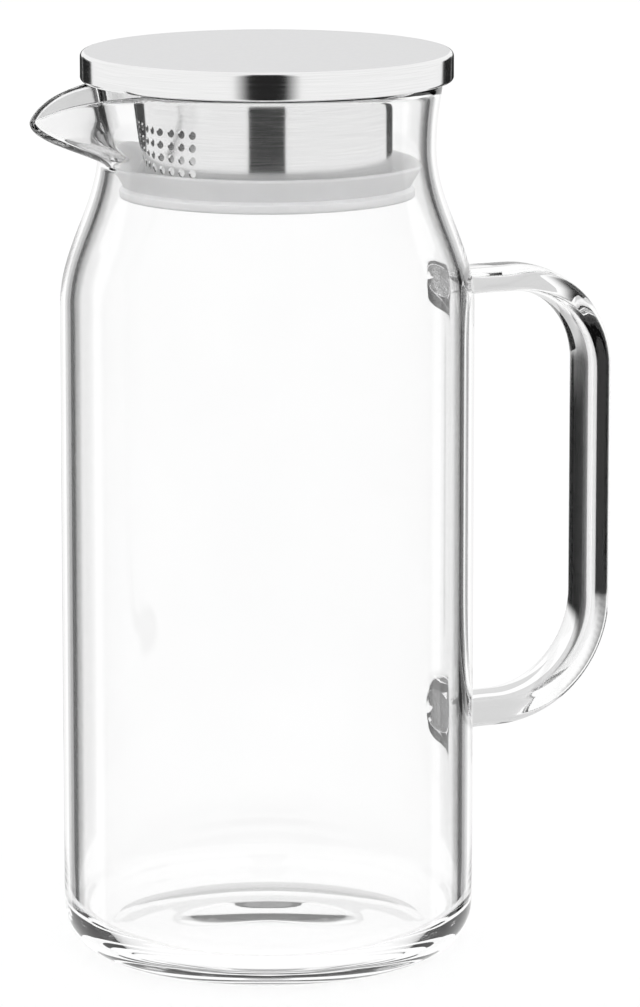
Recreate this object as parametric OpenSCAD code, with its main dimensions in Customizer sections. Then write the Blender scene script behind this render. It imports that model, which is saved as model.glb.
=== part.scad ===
// Glass jug with a pulled pouring lip, a welded glass handle and a steel strainer lid.
// The jug stands on z = 0 with its axis on Z, the handle towards +X and the lip towards -X.

/* [Jug] */
// Outer diameter of the straight wall
jug_d = 105; // [95:1:130]
// Height of the glass, from the table to the rim
jug_h = 223.9; // [200:0.1:280]
// Thickness of the glass wall
wall = 3.4; // [2.4:0.1:4.4]
// Thickness of the base at its rim
base_t = 6; // [4:0.1:9]
// Radius of the outer corner at the foot
heel_r = 12.5; // [8:0.1:16]
// Radius of the inner corner at the floor
floor_corner_r = 9; // [6:0.1:12]
// Radius of the push-up under the base
punt_r = 27; // [18:0.5:34]
// Height of the push-up under the base
punt_h = 2.4; // [1:0.1:3]

/* [Shoulder and neck] */
// Outer diameter of the throat
throat_d = 85.3; // [76:0.1:92]
// Height of the shoulder curve, from the straight wall to the throat
shoulder_h = 39.5; // [30:0.5:50]
// Height of the neck, from the throat to the rim
neck_h = 17; // [14:0.5:24]
// How much wider the rim is than the throat, on the radius
rim_flare = 1.9; // [0.5:0.1:3]

/* [Pouring lip] */
// How far the tip of the lip stands out from the rim
lip_reach = 20.9; // [16:0.1:22]
// How far the tip lies below the rim
lip_drop = 5.9; // [3:0.1:8]
// Height over which the lip is drawn out of the neck
lip_depth = 14; // [12:0.5:18]
// Angle of each side of the lip to its middle line
lip_angle = 35; // [30:1:37]
// Rounding of the tip, as an angle on the rim's circle
tip_round = 3.5; // [3:0.1:7]
// Thickness of the glass at the edge of the lip
lip_wall = 2; // [1.8:0.1:2.4]

/* [Handle] */
// Distance from the jug's wall to the middle of the grip
handle_reach = 39.4; // [36:0.1:50]
// Distance from the rim down to the middle of the upper bar
handle_drop = 54.2; // [50:0.1:70]
// Height of the middle of the lower bar
handle_foot = 56.7; // [40:0.1:70]
// Radius of the upper bend, at the middle of the rod
upper_bend_r = 24; // [16:0.5:28]
// Radius of the lower bend, at the middle of the rod
lower_bend_r = 28; // [16:0.5:32]
// Width of the flattened rod
rod_w = 15; // [11:0.1:18]
// Thickness of the rod at the upper weld
rod_t_top = 7; // [5:0.1:9]
// Thickness of the rod at the grip
rod_t_grip = 8; // [6:0.1:10]
// Thickness of the rod at the lower weld
rod_t_foot = 8.8; // [6:0.1:11]
// How much the welds swell, all round
weld_swell = 0.9; // [0:0.1:2]
// Length of the swelling at each weld
weld_run = 6; // [3:0.5:10]

/* [Lid] */
// How far the cap stands out over the rim, on the radius
cap_overhang = 2.45; // [2:0.05:6]
// Height of the cap
cap_h = 7.3; // [5:0.1:14]
// Radius of the cap's upper edge
cap_edge_r = 1.3; // [0.9:0.1:3]
// Radius of the rolled hem at the cap's lower edge
hem_r = 0.9; // [0.7:0.1:1.5]
// How far the hem turns in under the plate
hem_w = 1.6; // [1.5:0.1:1.9]
// Thickness of the steel sheet
sheet = 0.5; // [0.4:0.05:0.6]

/* [Strainer] */
// Gap between the throat and the sleeve, which the seal fills
neck_gap = 7.65; // [6.8:0.05:11]
// How far the sleeve hangs below the cap
sleeve_drop = 28.8; // [27:0.1:36]
// Length of the collar drawn down from the plate
collar_h = 5.3; // [4:0.1:7]
// Radius of the bend between plate and collar
collar_bend_r = 1; // [0.6:0.1:2]
// Diameter of one strainer hole
hole_d = 2.1; // [1.5:0.1:2.6]
// Rows of strainer holes
hole_rows = 4; // [2:1:4]
// Columns of strainer holes
hole_cols = 11; // [3:2:15]
// Distance between rows
row_pitch = 3.25; // [2.9:0.05:3.4]
// Distance between columns, round the sleeve
col_pitch = 3.42; // [2.9:0.02:3.8]
// Distance from the cap's lower edge down to the first row
first_row_drop = 10.6; // [9:0.1:11.5]

/* [Seal] */
// Height of the seal ring
seal_h = 9; // [8:0.1:11]
// Thickness of the wiping fin
fin_t = 1.1; // [0.8:0.1:1.6]
// Height of the lower flange
flange_h = 2.2; // [1.6:0.1:3]
// How far the lower flange stays inside the fin, on the radius
flange_step = 1.8; // [1:0.1:3]
// Depth of the groove between fin and flange
groove_depth = 0.9; // [0.4:0.1:1.4]
// Thickness of the hub round the sleeve
hub_t = 1.5; // [1:0.1:2.5]
// Height of the hub round the sleeve
hub_h = 6; // [5:0.1:7]

/* [Fits] */
// Gap between the rim and the plate that rests on it
seat_gap = 0.3; // [0.2:0.05:0.5]
// Gap between the fin and the throat
fin_gap = 0.35; // [0.3:0.05:0.8]
// Radial clearance of the sleeve in the seal
turn_fit = 0.05; // [0.02:0.01:0.1]
// Clearance between the sheet pieces of the lid
sheet_fit = 0.05; // [0.02:0.01:0.1]

/* [Hidden] */

$fn = 96;
glass_tint = [0.82, 0.88, 0.9, 0.4];
steel_tint = [0.78, 0.78, 0.79];
silicone_tint = [0.92, 0.92, 0.92];

jug_r = jug_d / 2;
throat_r = throat_d / 2;
throat_z = jug_h - neck_h;
shoulder_z = throat_z - shoulder_h;
rim_r = throat_r + rim_flare;
rim_tilt = atan(2 * rim_flare / neck_h);
bead_h = wall / 2 * (cos(rim_tilt) + sin(rim_tilt));

lip_base_z = jug_h - lip_drop - lip_depth;
lip_side_r = (rim_r + lip_reach) * sin(lip_angle);
lip_fillet = 2;
lip_spread = asin(lip_side_r / (rim_r - lip_fillet)) - lip_angle + tip_round;
lip_droop_power = 2.4;
lip_draw_power = 1.35;
lip_zone = lip_spread + 10;
lip_crowding = 1.5;
lip_cols = 34;
neck_cols = 36;
skin_rows = 8;
bead_steps = 5;
corner_steps = 6;
shoulder_steps = 9;
punt_steps = 5;
foot_trim = 0.2;

handle_r = jug_r + handle_reach;
handle_top = jug_h - handle_drop;
rod_sides = 24;
rod_bend_steps = 12;
rod_squareness = 2.6;

cap_r = rim_r + cap_overhang;
cap_z = jug_h + seat_gap;
cap_top = cap_z + cap_h;
joggle_r = cap_r - hem_w - sheet_fit;

sleeve_r = throat_r - wall - neck_gap;
sleeve_z = cap_z - sleeve_drop;
sleeve_top = cap_z - collar_bend_r;
collar_in_r = sleeve_r + sheet_fit;
collar_out_r = collar_in_r + sheet;
hole_step = col_pitch / sleeve_r * 180 / PI;

seal_z = sleeve_z - sheet;
seal_top = seal_z + seal_h;
seal_bore_r = sleeve_r + turn_fit;
fin_r = throat_r - wall - fin_gap;
flange_r = fin_r - flange_step;
groove_r = flange_r - groove_depth;
fin_lean = 25;

// Points on an arc about c, from angle a0 to a1
function arc(c, r, a0, a1, steps = corner_steps) = [
    for (i = [0:steps]) let (a = a0 + (a1 - a0) * i / steps) c + r * [cos(a), sin(a)]
];

function unit(v) = v / norm(v);

// Outer radius of the round glass at height z: straight wall, shoulder, then flared neck
function glass_r(z) =
    z < shoulder_z ? jug_r :
    z < throat_z ? jug_r - (jug_r - throat_r) * (1 - cos(180 * (z - shoulder_z) / shoulder_h)) / 2 :
    throat_r + rim_flare * pow((z - throat_z) / neck_h, 2);

// Height of the underside of the base at radius x, domed up in the middle
function punt_z(x) = punt_h * (1 + cos(180 * x / punt_r)) / 2 - foot_trim;

// Heights of the shoulder's points, from the straight wall up to the foot of the lip
function shoulder_heights() = [
    for (i = [0:shoulder_steps]) shoulder_z + (lip_base_z - shoulder_z) * i / shoulder_steps
];

// Outside of the round glass, from the push-up to the foot of the lip
function outer_profile() = concat(
    [for (i = [1:punt_steps]) let (x = punt_r * i / punt_steps) [x, punt_z(x)]],
    arc([jug_r - heel_r, heel_r - foot_trim], heel_r, -90, 0),
    [for (z = shoulder_heights()) [glass_r(z), z]]
);

// Inside of the round glass, from the foot of the lip down to the floor
function inner_profile() = concat(
    [for (i = [shoulder_steps:-1:0]) let (z = shoulder_heights()[i]) [glass_r(z) - wall, z]],
    arc([jug_r - wall - floor_corner_r, base_t + floor_corner_r], floor_corner_r, 0, -90),
    [[punt_r / punt_steps, base_t]]
);

// Profile points placed at angle a from the tip of the lip
function at_angle(profile, a) = [for (p = profile) [-p[0] * cos(a), p[0] * sin(a), p[1]]];

// How far the lip is pulled out of the rim's circle, at angle a from its tip:
// straight sides that meet in a rounded tip and run into the round neck by a fillet
function lip_out(a) =
    let (b = sqrt(a * a + tip_round * tip_round) - tip_round)
    let (side = lip_side_r / sin(min(90, b + lip_angle)) - rim_r)
    side > lip_fillet ? side :
    side < -lip_fillet ? 0 :
    pow(side + lip_fillet, 2) / (4 * lip_fillet);

// Height of the end of the skin below the rounded rim, at angle a from the tip
function skin_top(a) = jug_h - bead_h - lip_drop * pow(lip_out(a) / lip_reach, lip_droop_power);

// Point of the neck's outer skin, at angle a from the tip and share s of its height
function skin(a, s) =
    let (z = lip_base_z + (skin_top(a) - lip_base_z) * s)
    let (r = glass_r(z) + lip_out(a) * pow(sin(90 * s), lip_draw_power))
    [-r * cos(a), r * sin(a), z];

// Directions of the skin: up along the glass, and square out of it
function skin_up(a, s) = unit(skin(a, min(1, s + 0.01)) - skin(a, max(0, s - 0.01)));
function skin_out(a, s) = unit(cross(skin_up(a, s), skin(a + 0.5, s) - skin(a - 0.5, s)));

// Thickness of the glass, which thins where the lip is pulled out
function skin_t(a, s) = wall - (wall - lip_wall) * s * min(1, 2 * lip_out(a) / lip_reach);
function inner_skin(a, s) = skin(a, s) - skin_t(a, s) * skin_out(a, s);

// One section through the glass: under the base, up outside, over the rounded rim and down inside
function glass_section(a) =
    let (edge = skin(a, 1))
    let (bead_r = skin_t(a, 1) / 2)
    let (middle = edge - bead_r * skin_out(a, 1))
    concat(
        at_angle(outer_profile(), a),
        [for (i = [1:skin_rows]) skin(a, i / skin_rows)],
        [
            for (i = [1:bead_steps - 1])
            let (t = 180 * i / bead_steps)
            middle + (edge - middle) * cos(t) + bead_r * sin(t) * skin_up(a, 1)
        ],
        [for (i = [skin_rows:-1:1]) inner_skin(a, i / skin_rows)],
        at_angle(inner_profile(), a)
    );

// Angles of the sections, closest together at the tip of the lip
function section_angles() = concat(
    [
        for (i = [0:lip_cols - 1])
        let (share = 2 * i / lip_cols - 1)
        lip_zone * sign(share) * pow(abs(share), lip_crowding)
    ],
    [for (i = [0:neck_cols - 1]) lip_zone + (360 - 2 * lip_zone) * i / neck_cols]
);

// Solid through rings of equal length, with its first and last ring filled
module loft(rings) {
    n = len(rings);
    m = len(rings[0]);
    polyhedron(
        points = [for (ring = rings) each ring],
        faces = concat(
            [[for (j = [m - 1:-1:0]) j]],
            [
                for (i = [0:n - 2], j = [0:m - 1])
                let (l = (j + 1) % m)
                each [[i * m + j, i * m + l, i * m + m + l], [i * m + j, i * m + m + l, i * m + m + j]]
            ],
            [[for (j = [0:m - 1]) (n - 1) * m + j]]
        )
    );
}

// The jug is lofted through its sections, and its foot is ground flat
module glass_body() {
    sections = [for (a = section_angles()) glass_section(a)];
    color(glass_tint)
    difference() {
        loft([for (k = [0:len(sections[0]) - 1]) [for (section = sections) section[k]]]);
        translate([0, 0, -2 * foot_trim]) cylinder(r = jug_r, h = 2 * foot_trim);
    }
}

// Stations along the rod, each with its radius, height and heading below the horizontal
function rod_stations() =
    let (start_r = jug_r - wall / 2)
    let (run = weld_run + wall / 2)
    let (weld_steps = 4)
    concat(
        [for (i = [0:weld_steps - 1]) [start_r + run * i / weld_steps, handle_top, 0]],
        [
            for (i = [0:rod_bend_steps])
            let (a = 90 * i / rod_bend_steps)
            [
                handle_r - upper_bend_r + upper_bend_r * sin(a),
                handle_top - upper_bend_r + upper_bend_r * cos(a),
                a
            ]
        ],
        [
            for (i = [0:rod_bend_steps])
            let (a = 90 * i / rod_bend_steps)
            [
                handle_r - lower_bend_r + lower_bend_r * cos(a),
                handle_foot + lower_bend_r - lower_bend_r * sin(a),
                90 + a
            ]
        ],
        [for (i = [weld_steps - 1:-1:0]) [start_r + run * i / weld_steps, handle_foot, 180]]
    );

// Thickness of the rod by its heading: upper bar, grip, lower bar
function rod_t(heading) = lookup(heading, [[0, rod_t_top], [90, rod_t_grip], [180, rod_t_foot]]);

// Coordinate on a rounded oval of half-size h
function oval(c, h) = h * sign(c) * pow(abs(c), 2 / rod_squareness);

// Section of the rod at a station, swollen where it meets the wall
function rod_section(station) =
    let (heading = station[2])
    let (swell = weld_swell * pow(max(0, 1 - (station[0] - jug_r) / weld_run), 2))
    [
        for (i = [0:rod_sides - 1])
        let (a = 360 * (i + 0.5) / rod_sides)
        let (u = oval(cos(a), rod_t(heading) / 2 + swell))
        let (v = oval(sin(a), rod_w / 2 + swell))
        [station[0] + u * sin(heading), v, station[1] + u * cos(heading)]
    ];

module glass_handle() {
    color(glass_tint)
    difference() {
        loft([for (station = rod_stations()) rod_section(station)]);
        rotate_extrude() polygon(concat([[0, punt_h]], outer_profile(), [[0, lip_base_z]]));
    }
}

// Cap: flat top, rounded edge, straight skirt and a hem rolled in
module lid_cap() {
    edge = [cap_r - cap_edge_r, cap_top - cap_edge_r];
    hem = [cap_r - hem_r, cap_z + hem_r];
    color(steel_tint)
    rotate_extrude()
    polygon(concat(
        [[0, cap_top]],
        arc(edge, cap_edge_r, 90, 0),
        arc(hem, hem_r, 0, -90),
        [[cap_r - hem_w, cap_z], [cap_r - hem_w, cap_z + sheet]],
        arc(hem, hem_r - sheet, -90, 0),
        arc(edge, cap_edge_r - sheet, 0, 90),
        [[0, cap_top - sheet]]
    ));
}

// Plate: flange on the hem, a step down to the seat, and the collar drawn round the sleeve
module lid_plate() {
    bend = [collar_out_r + collar_bend_r, cap_z - collar_bend_r];
    flange_out_r = cap_r - sheet - sheet_fit;
    color(steel_tint)
    rotate_extrude()
    polygon(concat(
        [[collar_in_r, cap_z - collar_h], [collar_out_r, cap_z - collar_h]],
        arc(bend, collar_bend_r, 180, 90),
        [
            [joggle_r, cap_z],
            [joggle_r, cap_z + sheet],
            [flange_out_r - hem_r + sheet, cap_z + sheet],
            [flange_out_r, cap_z + hem_r],
            [flange_out_r, cap_z + hem_r + sheet],
            [joggle_r - sheet, cap_z + 2 * sheet],
            [joggle_r - sheet, cap_z + sheet]
        ],
        arc(bend, collar_bend_r + sheet, 90, 180)
    ));
}

// Sleeve: an open tube with a panel of holes that faces the lip
module strainer_sleeve() {
    height = sleeve_top - sleeve_z;
    color(steel_tint)
    difference() {
        translate([0, 0, sleeve_z]) cylinder(r = sleeve_r, h = height);
        translate([0, 0, sleeve_z - sheet]) cylinder(r = sleeve_r - sheet, h = height + 2 * sheet);
        for (row = [0:hole_rows - 1], col = [0:hole_cols - 1])
            rotate([0, 0, 180 + (col - (hole_cols - 1) / 2) * hole_step])
            translate([sleeve_r - 2 * sheet, 0, cap_z - first_row_drop - row * row_pitch])
            rotate([0, 90, 0])
            cylinder(d = hole_d, h = 3 * sheet, $fn = 24);
    }
}

// Seal: hub round the sleeve, a wiping fin raised like a bowl, a groove and a lower flange
module seal_ring() {
    flange_round = flange_h / 3;
    fin_root_z = seal_z + flange_h + 2 * groove_depth;
    color(silicone_tint)
    rotate_extrude()
    polygon(concat(
        [[seal_bore_r, seal_z]],
        arc([flange_r - flange_round, seal_z + flange_round], flange_round, -90, 0, 6),
        [[flange_r, seal_z + flange_h], [groove_r, seal_z + flange_h + groove_depth]],
        arc([fin_r - fin_t / 2, seal_top - fin_t / 2], fin_t / 2, -fin_lean, 180 - fin_lean, 8),
        [[seal_bore_r + hub_t + fin_t, fin_root_z + fin_t / 2]],
        [[seal_bore_r + hub_t, fin_root_z + fin_t]],
        [[seal_bore_r + hub_t, seal_z + hub_h], [seal_bore_r, seal_z + hub_h]]
    ));
}

glass_body();
glass_handle();
lid_cap();
lid_plate();
strainer_sleeve();
seal_ring();
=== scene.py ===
"""Glass pitcher with a steel lid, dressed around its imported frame."""

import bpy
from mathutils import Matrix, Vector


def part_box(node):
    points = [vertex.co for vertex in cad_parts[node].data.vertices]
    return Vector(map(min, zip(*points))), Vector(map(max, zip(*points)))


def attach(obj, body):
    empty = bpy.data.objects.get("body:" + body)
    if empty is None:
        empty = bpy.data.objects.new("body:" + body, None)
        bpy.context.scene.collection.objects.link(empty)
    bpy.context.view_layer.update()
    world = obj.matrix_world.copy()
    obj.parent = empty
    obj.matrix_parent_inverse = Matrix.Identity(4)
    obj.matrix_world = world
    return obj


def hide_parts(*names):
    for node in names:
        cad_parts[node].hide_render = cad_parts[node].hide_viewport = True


bl_info = {
    "name": "Glass Pitcher",
    "version": (1, 0, 0),
    "blender": (4, 5, 0),
    "location": "View3D > Sidebar > Pitcher",
    "description": "Builds a lidded glass pitcher around its packed frame",
    "category": "Object",
}

import math

import bpy
from bpy.props import FloatProperty, FloatVectorProperty, IntProperty, PointerProperty
from mathutils import Vector

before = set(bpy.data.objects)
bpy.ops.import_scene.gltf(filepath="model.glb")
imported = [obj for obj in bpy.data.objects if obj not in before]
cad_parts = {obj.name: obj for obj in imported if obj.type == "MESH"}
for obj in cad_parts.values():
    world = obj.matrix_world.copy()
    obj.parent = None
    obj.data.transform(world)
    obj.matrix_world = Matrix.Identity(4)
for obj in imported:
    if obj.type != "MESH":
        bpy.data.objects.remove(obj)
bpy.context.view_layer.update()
GLASS_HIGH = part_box("glass_body")[1]
CAP_LOW, CAP_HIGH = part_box("lid_cap")
SLEEVE_LOW, SLEEVE_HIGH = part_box("strainer_sleeve")
SEAL_LOW, SEAL_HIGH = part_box("seal_ring")


def length(name, default, description):
    """A length of the pitcher in metres."""
    return FloatProperty(name=name, description=description, default=default, unit="LENGTH", precision=5)


def turned(name, degrees, description):
    """An angle, given in degrees."""
    return FloatProperty(name=name, description=description, default=math.radians(degrees), subtype="ANGLE")


def colour(name, default, description):
    """A linear colour of one of the pitcher's finishes."""
    return FloatVectorProperty(name=name, description=description, default=default, subtype="COLOR",
                               size=3, min=0.0, max=1.0)


class PitcherGlass(bpy.types.PropertyGroup):
    """Sizes of the jug's glass."""

    body_r: length("Body radius", GLASS_HIGH.y, "Outer radius of the straight wall")
    rim_z: length("Rim height", GLASS_HIGH.z, "Height of the rim round the back")
    wall: length("Wall", 0.0034, "Thickness of the glass wall")
    floor_t: length("Floor", 0.006, "Height of the inside floor")
    heel_r: length("Heel radius", 0.0125, "Outer rounding of the foot")
    corner_r: length("Corner radius", 0.009, "Inner rounding at the floor")
    push_up_r: length("Push-up radius", 0.027, "Radius of the dome under the base")
    push_up_h: length("Push-up height", 0.0022, "Height of the dome under the base")
    throat_r: length("Throat radius", 0.04265, "Outer radius of the narrowest ring")
    shoulder_h: length("Shoulder height", 0.0395, "Height over which the wall draws in")
    neck_h: length("Neck height", 0.017, "Height from the throat to the rim")
    flare: length("Rim flare", 0.0019, "How far the rim leans out")
    lip_reach: length("Lip reach", 0.0209, "How far the lip is pulled out of the rim")
    lip_drop: length("Lip drop", 0.0059, "How far the lip's tip sinks below the rim")
    lip_depth: length("Lip depth", 0.014, "Height over which the lip grows out of the neck")
    lip_wall: length("Lip wall", 0.002, "Thickness of the glass at the lip's edge")
    lip_fillet: length("Lip fillet", 0.0007, "Softness of the join between the lip's sides and the neck")
    lip_angle: turned("Lip angle", 35, "Angle of each side of the lip to its middle line")
    tip_round: turned("Tip rounding", 3.5, "Angle over which the lip's tip is rounded")
    columns: IntProperty(name="Columns", description="Vertices round the jug", default=288)


class PitcherHandle(bpy.types.PropertyGroup):
    """Sizes of the glass handle."""

    reach: length("Reach", 0.0394, "Distance of the grip from the wall")
    top_z: length("Upper bar height", 0.1697, "Height of the upper bar's middle")
    foot_z: length("Lower bar height", 0.0567, "Height of the lower bar's middle")
    upper_bend_r: length("Upper bend", 0.024, "Radius of the upper bend")
    lower_bend_r: length("Lower bend", 0.028, "Radius of the lower bend")
    width: length("Width", 0.015, "Width of the rod across the handle")
    top_t: length("Upper thickness", 0.007, "Thickness of the upper bar")
    grip_t: length("Grip thickness", 0.008, "Thickness of the grip")
    foot_t: length("Lower thickness", 0.0088, "Thickness of the lower bar")
    swell: length("Weld swell", 0.0009, "Widening of the rod at the wall")
    weld_run: length("Weld run", 0.006, "Length over which the rod widens")
    squareness: FloatProperty(name="Squareness", default=2.6,
                              description="Exponent of the rod's rounded oval")


class PitcherLid(bpy.types.PropertyGroup):
    """Sizes of the steel lid and its seal."""

    cap_r: length("Cap radius", CAP_HIGH.y, "Outer radius of the cap")
    cap_z: length("Cap foot", CAP_LOW.z, "Height of the cap's lower edge")
    cap_top: length("Cap top", CAP_HIGH.z, "Height of the cap's flat top")
    cap_edge_r: length("Cap edge", 0.0013, "Rounding of the cap's upper edge")
    hem_r: length("Hem radius", 0.0009, "Rounding of the rolled hem")
    hem_w: length("Hem width", 0.0016, "Width of the rolled hem")
    sheet: length("Sheet", 0.0005, "Thickness of the steel sheet")
    sheet_fit: length("Sheet fit", 0.00005, "Clearance between nested sheets")
    sleeve_r: length("Sleeve radius", SLEEVE_HIGH.y, "Outer radius of the strainer sleeve")
    sleeve_z: length("Sleeve foot", SLEEVE_LOW.z, "Height of the sleeve's lower edge")
    sleeve_top: length("Sleeve top", SLEEVE_HIGH.z, "Height of the sleeve's upper edge")
    collar_h: length("Collar height", 0.0053, "Height of the collar round the sleeve")
    collar_bend_r: length("Collar bend", 0.001, "Rounding of the collar's bend")
    hole_d: length("Hole", 0.0021, "Diameter of a strainer hole")
    hole_rows: IntProperty(name="Hole rows", description="Rows of strainer holes", default=4)
    hole_cols: IntProperty(name="Hole columns", description="Columns of strainer holes", default=11)
    row_pitch: length("Row pitch", 0.00325, "Height between rows of holes")
    col_pitch: length("Column pitch", 0.00342, "Distance between columns of holes")
    first_row: length("First row", 0.0106, "Depth of the top row below the cap")
    seal_z: length("Seal foot", SEAL_LOW.z, "Height of the seal's underside")
    seal_top: length("Seal top", SEAL_HIGH.z, "Height of the wiping fin's edge")
    fin_r: length("Fin radius", SEAL_HIGH.y, "Outer radius of the wiping fin")
    fin_t: length("Fin thickness", 0.0011, "Thickness of the wiping fin")
    flange_step: length("Flange step", 0.0018, "How far the lower flange stands inside the fin")
    flange_h: length("Flange height", 0.0022, "Height of the lower flange")
    groove_depth: length("Groove", 0.0009, "Depth of the groove above the flange")
    hub_t: length("Hub", 0.0015, "Thickness of the hub round the sleeve")
    hub_h: length("Hub height", 0.006, "Height of the hub round the sleeve")
    columns: IntProperty(name="Columns", description="Vertices round the lid", default=256)


class PitcherFinish(bpy.types.PropertyGroup):
    """Colours and gloss of the pitcher's finishes."""

    glass_tint: colour("Glass", (0.99, 0.99, 0.99), "Tint of the clear glass")
    glass_ior: FloatProperty(name="Glass IOR", description="Refraction of the glass", default=1.473)
    steel: colour("Steel", (0.90, 0.90, 0.90), "Brushed steel of skirt and sleeve")
    # The cap top's colour is darker than the skirt's steel as painted shade, standing in for the darker
    # reflection of the satin top; the satin gloss itself is real.
    shaded_steel_top: colour("Cap top", (0.70, 0.70, 0.705), "Satin steel of the cap's top")
    silicone: colour("Silicone", (0.76, 0.76, 0.765), "Milky silicone of the seal")


class PitcherStage(bpy.types.PropertyGroup):
    """Camera, floor and light of the picture."""

    lens: FloatProperty(name="Lens", description="Focal length in millimetres", default=222.97)
    distance: length("Distance", 1.56, "Level distance from the pitcher's axis to the camera")
    height: length("Height", 0.4162, "Height of the camera")
    azimuth: turned("Azimuth", -24, "Turn of the camera round the pitcher")
    pitch: turned("Pitch", 10.91, "Tilt of the camera below the level")
    yaw: turned("Yaw", 0.49, "Turn of the camera to the right of the axis")
    floor_r: length("Floor radius", 4.0, "Radius of the pale floor")
    plinth_r: length("Plinth radius", 0.085, "Radius of the white ground that the glass shows")
    flag_r: length("Flag radius", 0.06, "Distance of the dark cards from the grip")
    flag_low: length("Flag low", 0.058, "Height of the dark cards' lower edge")
    flag_high: length("Flag high", 0.151, "Height of the dark cards' upper edge")
    flag_fade: length("Flag fade", 0.016, "Height over which the dark cards fade out")
    back_start: turned("Back flag start", -20, "Where the card behind the grip begins, from +X")
    back_end: turned("Back flag end", 87, "Where the card behind the grip ends")
    behind_r: length("Behind flag radius", 0.15, "Distance of the card that the grip's skin mirrors")
    behind_drop: length("Behind flag drop", 0.029, "How much lower that card stands")
    behind_end: turned("Behind flag end", 140, "Where that card ends")
    side_start: turned("Side flag start", -26, "Where the card beside the grip begins")
    side_end: turned("Side flag end", 14, "Where the card beside the grip ends")
    front_start: turned("Front flag start", -85, "Where the card before the grip begins")
    front_end: turned("Front flag end", -45, "Where the card before the grip ends")
    card_r: length("Card radius", 0.2, "Distance of the card that the sleeve mirrors")
    card_low: length("Card low", 0.135, "Height of that card's lower edge")
    card_high: length("Card high", 0.8, "Height of that card's upper edge")
    card_half: turned("Card width", 15, "Half the angle that the card takes up")


def to_mode(name):
    """Switch the piece in hand to another mode."""
    bpy.ops.object.mode_set(mode=name)


def clear_selection():
    """Leave nothing selected, so that an operator acts only on the piece in hand."""
    if bpy.context.object and bpy.context.object.mode != "OBJECT":
        to_mode("OBJECT")
    bpy.ops.object.select_all(action="DESELECT")


def pick(piece):
    """Make one piece the only selected and the active one."""
    clear_selection()
    piece.select_set(True)
    bpy.context.view_layer.objects.active = piece


def arc(centre, radius, start, end, steps):
    """Points (radius, height) on an arc, from one angle in degrees to another."""
    points = []
    for i in range(steps + 1):
        a = math.radians(start + (end - start) * i / steps)
        points.append((centre[0] + radius * math.cos(a), centre[1] + radius * math.sin(a)))
    return points


def turn(name, profile, columns, angles=None):
    """Turn a profile of (radius, height) points round the Z axis, ring by ring."""
    clear_selection()
    radius, height = profile[0]
    bpy.ops.mesh.primitive_circle_add(vertices=columns, radius=radius, location=(0, 0, height))
    bpy.ops.object.transform_apply(location=True, rotation=False, scale=False)
    piece = bpy.context.object
    piece.name = piece.data.name = name
    if angles:
        for vertex, a in zip(piece.data.vertices, angles):
            vertex.co = (-radius * math.cos(a), radius * math.sin(a), height)
    to_mode("EDIT")
    bpy.ops.mesh.select_all(action="SELECT")
    for (r0, z0), (r1, z1) in zip(profile, profile[1:]):
        bpy.ops.mesh.extrude_region_move(TRANSFORM_OT_translate={"value": (0, 0, z1 - z0)})
        bpy.ops.transform.resize(value=(r1 / r0, r1 / r0, 1), center_override=(0, 0, z1))
    return piece


def close_pole():
    """Close the selected ring with a fan to its middle."""
    bpy.ops.mesh.extrude_region_move(TRANSFORM_OT_translate={"value": (0, 0, 0)})
    bpy.ops.mesh.merge(type="CENTER")


def select_open_edges():
    """Select only the edges of openings."""
    bpy.ops.mesh.select_all(action="DESELECT")
    bpy.ops.mesh.select_non_manifold(use_wire=False, use_boundary=True, use_multi_face=False,
                                     use_non_contiguous=False, use_verts=False)


def face_out():
    """Point all faces out and leave the mesh."""
    bpy.ops.mesh.select_all(action="SELECT")
    bpy.ops.mesh.normals_make_consistent(inside=False)
    to_mode("OBJECT")


# Distance within which vertices count as one.
SAME_PLACE = 1e-6


def finish_turned(piece, smooth_angle):
    """Weld doubles, point the faces out and smooth a turned piece."""
    bpy.ops.mesh.select_all(action="SELECT")
    bpy.ops.mesh.remove_doubles(threshold=SAME_PLACE)
    face_out()
    pick(piece)
    bpy.ops.object.shade_smooth_by_angle(angle=math.radians(smooth_angle))


# Powers that shape the lip, and the steps over which the slope of its skin is taken.
LIP_DROOP, LIP_DRAW = 2.4, 1.35
SHARE_STEP, ANGLE_STEP = 0.01, 0.008


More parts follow.
